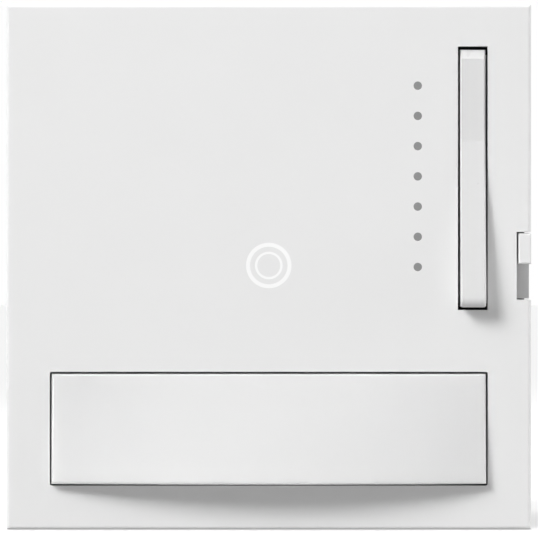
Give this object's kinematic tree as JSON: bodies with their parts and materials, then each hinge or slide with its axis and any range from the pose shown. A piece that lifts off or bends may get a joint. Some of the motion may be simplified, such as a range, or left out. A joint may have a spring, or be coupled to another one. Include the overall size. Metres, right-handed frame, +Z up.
{
  "type": "wall dimmer switch module",
  "caption": "Square snap-in wall dimmer with a tap face, slim dimming rocker, level lights, air-gap slide tab and a bulging motion-sensor lens.",
  "frame": {"origin": "centre of the flange's back face, where the module seats on its mounting frame (Y = 0)", "axes": "+Z up, +X right as seen from the room, -Y toward the room and +Y into the wall box"},
  "size_m": [0.045, 0.0453, 0.045],
  "materials": {
    "face_plastic": "satin moulded white plastic",
    "bar_plastic": "smooth white plastic, a little glossier than the face",
    "lens_plastic": "milky white polyethylene",
    "ring_plastic": "bright white diffusing inlay",
    "light_guide": "smoky clear acrylic",
    "tab_plastic": "satin moulded white plastic",
    "ledge_plastic": "light grey plastic",
    "frame_plastic": "satin moulded charcoal plastic",
    "housing_plastic": "fine-textured charcoal plastic",
    "spring_steel": "rolled spring steel",
    "zinc_steel": "bright zinc plate",
    "brass": "plain brass",
    "green_brass": "green-dyed screw",
    "bronze": "phosphor bronze",
    "board": "green solder resist on glass-fibre board",
    "black_plastic": "black moulding compound",
    "can_steel": "nickel-plated can",
    "filter_pane": "dark infra-red filter",
    "led_body": "pale light-emitting diode",
    "dial_plastic": "orange nylon",
    "ferrite": "painted powder-iron core",
    "copper_wire": "enamelled copper wire",
    "film_box": "yellow potted box",
    "can_aluminium": "bare can",
    "surge_coating": "blue epoxy dip",
    "fuse_glass": "glass tube",
    "sink_aluminium": "sheared aluminium plate",
    "pad_rubber": "grey silicone pad"
  },
  "bodies": {
    "cover": {"face_cover": "face_plastic", "ring_inlay_outer": "ring_plastic", "ring_inlay_inner": "ring_plastic", "ring_light_guide": "light_guide", "level_light_pipe": "light_guide"},
    "rocker": {"dimmer_rocker": "bar_plastic"},
    "airgap_tab": {"airgap_slider": "tab_plastic", "airgap_bridge": "bronze"},
    "tap_button": {"tap_plunger": "black_plastic"},
    "raise_button": {"raise_plunger": "black_plastic"},
    "lower_button": {"lower_plunger": "black_plastic"},
    "time_setting": {"time_dial": "dial_plastic"},
    "sensitivity_setting": {"sensitivity_dial": "dial_plastic"},
    "upper_latch": {"upper_clip": "spring_steel"},
    "lower_latch": {"lower_clip": "spring_steel"},
    "module": {"front_frame": "frame_plastic", "sensor_lens": "lens_plastic", "airgap_ledge": "ledge_plastic", "airgap_blades": "bronze", "control_board": "board", "board_screws": "zinc_steel", "sensor_can": "can_steel", "sensor_pane": "filter_pane", "photocell": "black_plastic", "level_leds": "led_body", "ring_led": "led_body", "microcontroller": "black_plastic", "tap_switch_body": "black_plastic", "raise_switch_body": "black_plastic", "lower_switch_body": "black_plastic", "time_dial_base": "black_plastic", "sensitivity_dial_base": "black_plastic", "board_header": "black_plastic", "board_socket": "black_plastic", "power_board": "board", "power_switch": "black_plastic", "insulating_pad": "pad_rubber", "heat_sink": "sink_aluminium", "heat_sink_screw": "zinc_steel", "choke_core": "ferrite", "choke_winding": "copper_wire", "film_capacitor": "film_box", "electrolytic_capacitor": "can_aluminium", "surge_absorber": "surge_coating", "fuse": "fuse_glass", "fuse_clips": "brass", "rectifier": "black_plastic", "rear_housing": "housing_plastic", "case_screws": "zinc_steel", "terminal_plates": "brass", "wire_clamps": "zinc_steel", "terminal_screws": "brass", "ground_screw": "green_brass"}
  },
  "joints": [
    {"name": "face_tap", "type": "hinge", "parent": "module", "child": "cover", "pos_m": [0, -0.0042, 0.0181], "axis": [1, 0, 0], "range_deg": [0, 0.8], "stiffness_Nm_per_rad": 1.5, "springref_deg": -0.57},
    {"name": "rocker_tilt", "type": "hinge", "parent": "module", "child": "rocker", "pos_m": [0.01749, -0.0048, 0.0076], "axis": [1, 0, 0], "range_deg": [-2, 2], "stiffness_Nm_per_rad": 0.3},
    {"name": "airgap_slide", "type": "slide", "parent": "module", "child": "airgap_tab", "axis": [0, 0, -1], "range_m": [0, 0.003]},
    {"name": "tap_press", "type": "slide", "parent": "module", "child": "tap_button", "axis": [0, 1, 0], "range_m": [0, 0.00035]},
    {"name": "raise_press", "type": "slide", "parent": "module", "child": "raise_button", "axis": [0, 1, 0], "range_m": [-0.00025, 0.00025]},
    {"name": "lower_press", "type": "slide", "parent": "module", "child": "lower_button", "axis": [0, 1, 0], "range_m": [-0.00025, 0.00025]},
    {"name": "time_turn", "type": "hinge", "parent": "module", "child": "time_setting", "pos_m": [-0.013, 0, 0.012], "axis": [0, 1, 0], "range_deg": [-135, 135]},
    {"name": "sensitivity_turn", "type": "hinge", "parent": "module", "child": "sensitivity_setting", "pos_m": [-0.013, 0, 0.004], "axis": [0, 1, 0], "range_deg": [-135, 135]},
    {"name": "upper_latch_flex", "type": "hinge", "parent": "module", "child": "upper_latch", "pos_m": [0, 0.0126, 0.0203], "axis": [1, 0, 0], "range_deg": [0, 8.5], "stiffness_Nm_per_rad": 0.7, "springref_deg": -1.72},
    {"name": "lower_latch_flex", "type": "hinge", "parent": "module", "child": "lower_latch", "pos_m": [0, 0.0126, -0.0203], "axis": [1, 0, 0], "range_deg": [-8.5, 0], "stiffness_Nm_per_rad": 0.7, "springref_deg": 1.72}
  ],
  "couplings": [
    {"joint": "tap_press", "follows": "face_tap", "m_per_rad": 0.0223},
    {"joint": "raise_press", "follows": "rocker_tilt", "m_per_rad": -0.006},
    {"joint": "lower_press", "follows": "rocker_tilt", "m_per_rad": 0.006}
  ]
}
